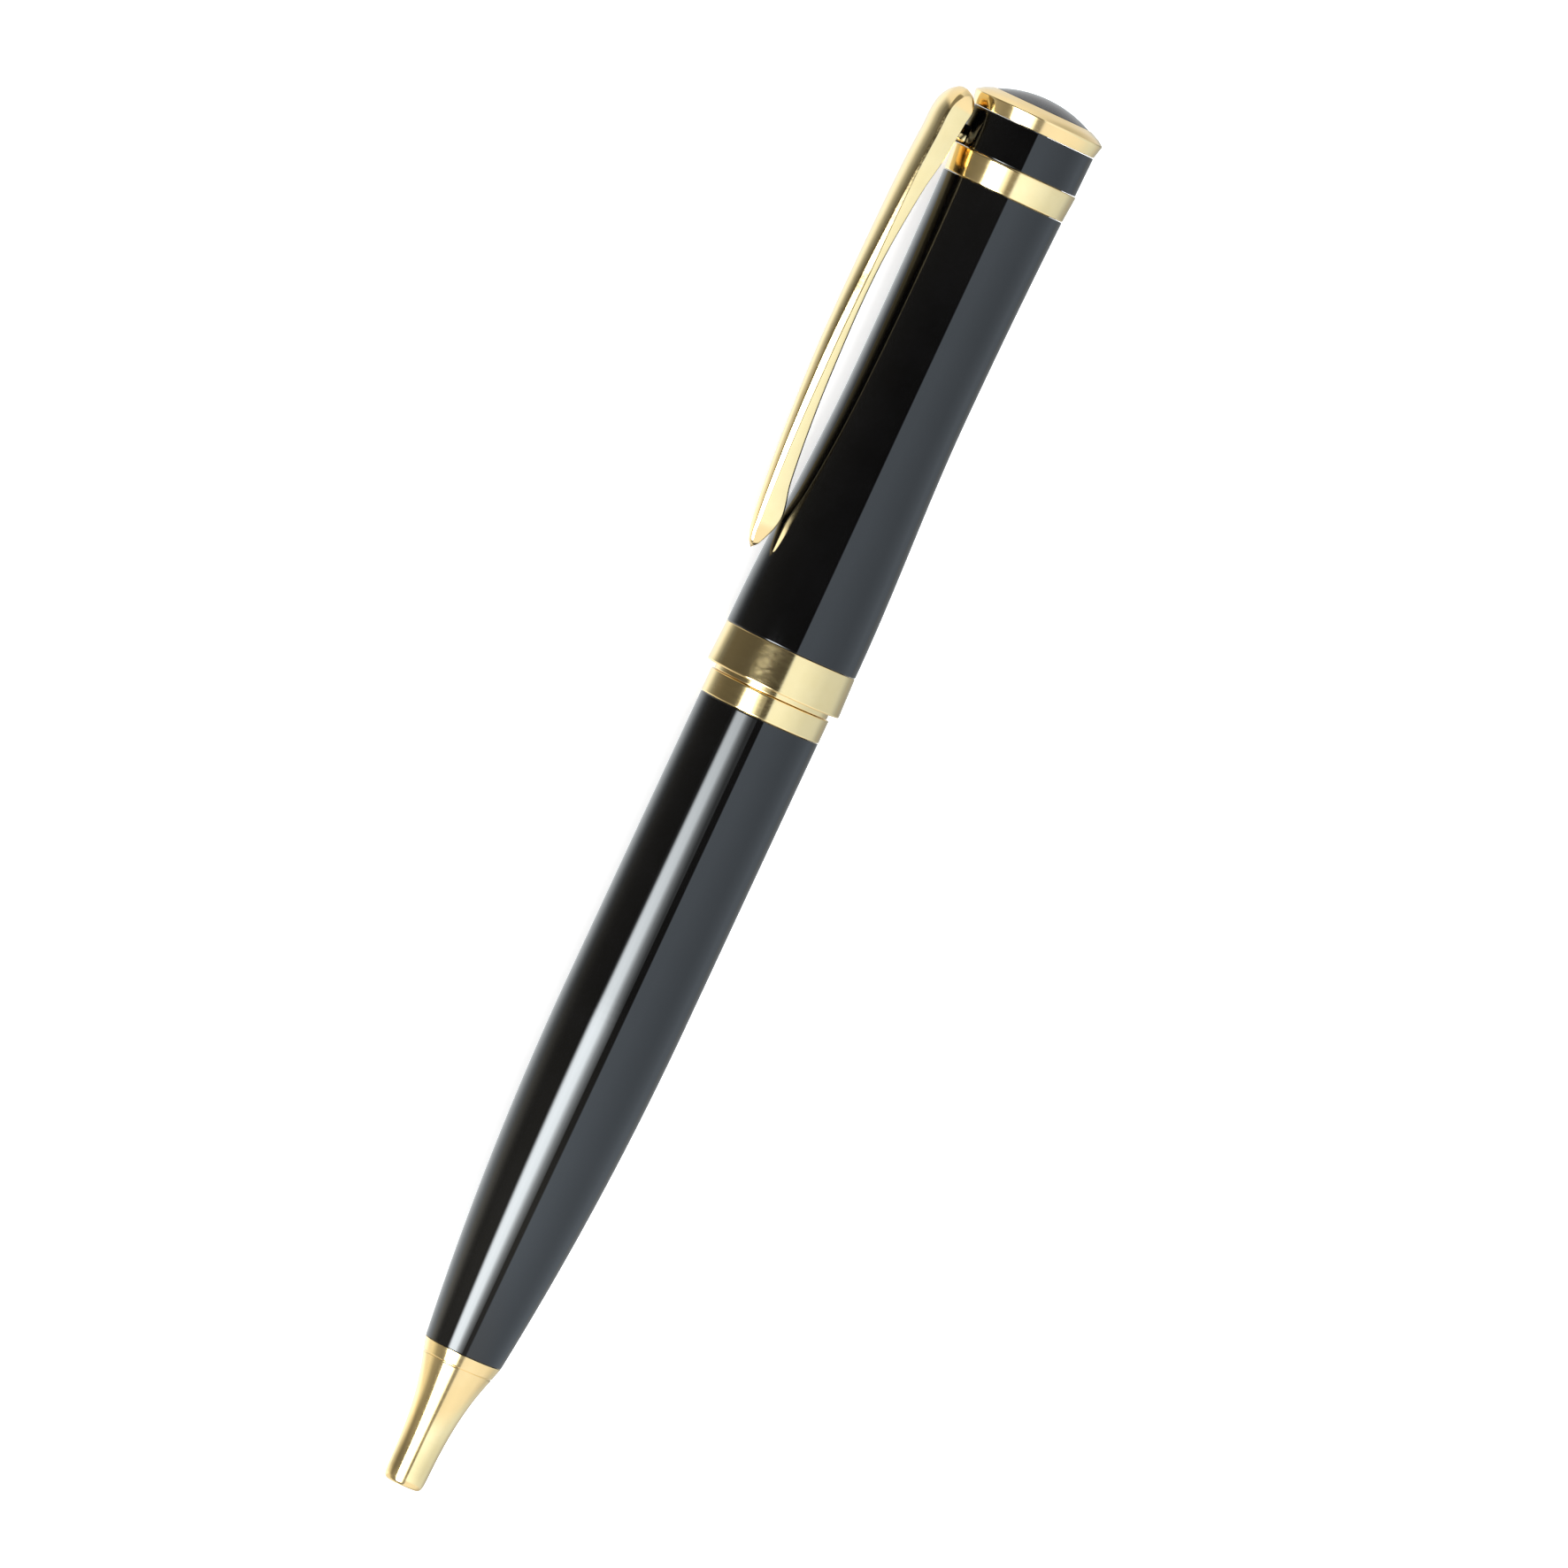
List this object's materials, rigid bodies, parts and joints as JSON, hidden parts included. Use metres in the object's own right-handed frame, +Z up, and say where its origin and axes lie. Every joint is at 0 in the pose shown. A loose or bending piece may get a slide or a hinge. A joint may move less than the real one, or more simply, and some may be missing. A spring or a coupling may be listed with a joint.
{
  "type": "rollerball pen",
  "caption": "Twist-action pen with black lacquered halves, gold-plated nose, rings, sprung clip and domed finial; twisting the cap moves the refill.",
  "frame": {"origin": "middle of the pen's box, on the table it lies on", "axes": "+X along the pen towards the nose, +Z up, -Y towards the clip"},
  "size_m": [0.138, 0.0156, 0.013],
  "materials": {
    "gold_plate": "polished gold plating over brass",
    "black_lacquer": "deep black high-gloss lacquer over brass",
    "onyx": "polished black domed cabochon",
    "brass": "machined brass",
    "steel": "stainless steel",
    "refill_plastic": "moulded refill tube",
    "acetal": "moulded acetal",
    "black_plastic": "moulded plastic",
    "ink_fibre": "ink-soaked fibre",
    "rubber": "nitrile rubber"
  },
  "bodies": {
    "front": {"nose_cone": "gold_plate", "lower_barrel": "black_lacquer", "barrel_thread_insert": "brass", "lower_ring": "gold_plate", "return_spring": "steel"},
    "mechanism": {"mechanism_bush": "gold_plate", "friction_o_ring": "rubber", "retaining_ring": "steel"},
    "cap": {"mechanism_sleeve": "brass", "centre_band": "gold_plate", "upper_barrel": "black_lacquer", "top_trim_ring": "gold_plate", "top_insert": "brass", "finial_collar": "black_lacquer", "finial_bezel": "gold_plate", "finial_cabochon": "onyx", "finial_screw": "steel", "clip_pin": "steel", "clip_spring": "steel"},
    "pusher": {"pusher": "acetal", "cross_pin": "steel"},
    "refill": {"refill_ball": "steel", "refill_tip": "steel", "refill_tube": "refill_plastic", "ink_reservoir": "ink_fibre", "refill_plug": "black_plastic"},
    "clip": {"clip": "gold_plate"}
  },
  "joints": [
    {"name": "barrel_separation", "type": "slide", "parent": "front", "child": "mechanism", "axis": [-1, 0, 0], "range_m": [0, 0.034]},
    {"name": "cap_twist", "type": "hinge", "parent": "mechanism", "child": "cap", "pos_m": [0, 0.00132, 0.00652], "axis": [1, 0, 0], "range_deg": [0, 150]},
    {"name": "pusher_slide", "type": "slide", "parent": "cap", "child": "pusher", "axis": [1, 0, 0], "range_m": [0, 0.004]},
    {"name": "refill_slide", "type": "slide", "parent": "front", "child": "refill", "axis": [1, 0, 0], "range_m": [0, 0.004], "deforming": ["return_spring"]},
    {"name": "clip_hinge", "type": "hinge", "parent": "cap", "child": "clip", "pos_m": [-0.06274, -0.00174, 0.00482], "axis": [0, 0.4855, -0.8742], "range_deg": [0, 4], "stiffness_Nm_per_rad": 1.5, "springref_deg": -1.15}
  ],
  "couplings": [
    {"joint": "pusher_slide", "follows": "cap_twist", "m_per_rad": 0.0015278},
    {"joint": "refill_slide", "follows": "cap_twist", "m_per_rad": 0.0015278}
  ]
}
